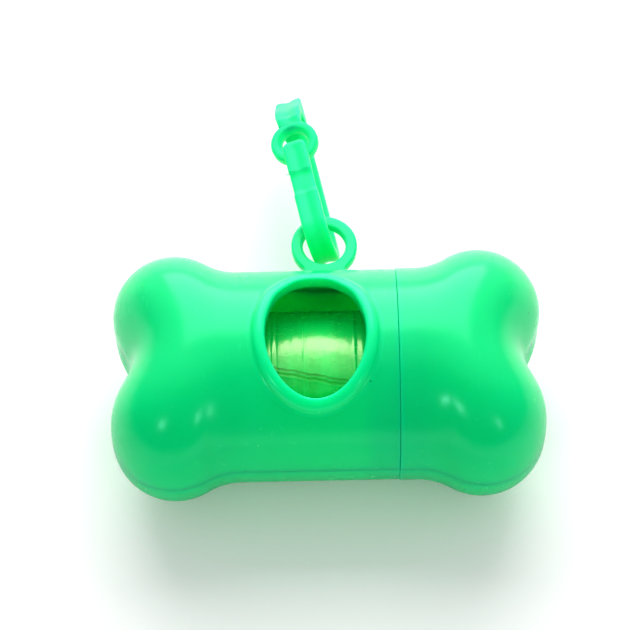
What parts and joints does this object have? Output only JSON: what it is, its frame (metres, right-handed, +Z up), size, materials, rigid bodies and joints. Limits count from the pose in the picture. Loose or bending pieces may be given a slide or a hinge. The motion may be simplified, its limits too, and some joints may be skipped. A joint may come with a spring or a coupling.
{
  "type": "dog waste bag dispenser",
  "caption": "Bone-shaped two-part plastic case for a roll of dog waste bags, with a lipped oval window in its side, a pull-off end and a spring clip looped through an eyelet.",
  "frame": {"origin": "centre of the small flat along the belly, on which the bone lies, under the middle of the bone's length; Z = 0 is the table", "axes": "+X along the bone towards the pull-off cap, +Y towards the eyelet and the clip, +Z up, the way the bag window faces"},
  "size_m": [0.0857, 0.095, 0.0426],
  "materials": {
    "case_plastic": "injection moulded, satin gloss, slightly translucent",
    "sleeve_plastic": "injection moulded, satin gloss",
    "clip_plastic": "injection moulded, satin gloss, small flash burrs",
    "bag_film": "thin wound film with a soft sheen and fine creases",
    "core_card": "spiral-wound card, matt"
  },
  "bodies": {
    "body": {"body_front_shell": "case_plastic", "body_rear_shell": "case_plastic"},
    "connector": {"connector_sleeve": "sleeve_plastic"},
    "cap": {"cap_front_shell": "case_plastic", "cap_rear_shell": "case_plastic"},
    "roll": {"roll_core": "core_card", "bag_roll": "bag_film", "first_bag": "bag_film"},
    "clip": {"clip_frame": "clip_plastic", "gate_flexure": "clip_plastic"},
    "gate": {"clip_gate": "clip_plastic"}
  },
  "joints": [
    {"name": "cap_pull", "type": "slide", "parent": "body", "child": "connector", "axis": [1, 0, 0], "range_m": [0, 0.045]},
    {"name": "cap_twist", "type": "hinge", "parent": "connector", "child": "cap", "pos_m": [0.0139, 0, 0.0204], "axis": [1, 0, 0], "continuous": true},
    {"name": "roll_spin", "type": "hinge", "parent": "body", "child": "roll", "pos_m": [0, 0, 0.01715], "axis": [1, 0, 0], "continuous": true},
    {"name": "clip_swing", "type": "hinge", "parent": "body", "child": "clip", "pos_m": [-0.00135, 0.0342, 0.0204], "axis": [0.9813, 0.1925, 0], "range_deg": [-100, 100]},
    {"name": "gate_open", "type": "hinge", "parent": "clip", "child": "gate", "pos_m": [-0.00396, 0.04244, 0.02442], "axis": [0.9562, 0.1972, 0.2162], "range_deg": [0, 40], "stiffness_Nm_per_rad": 0.015, "springref_deg": -2.86, "deforming": ["gate_flexure"]}
  ]
}
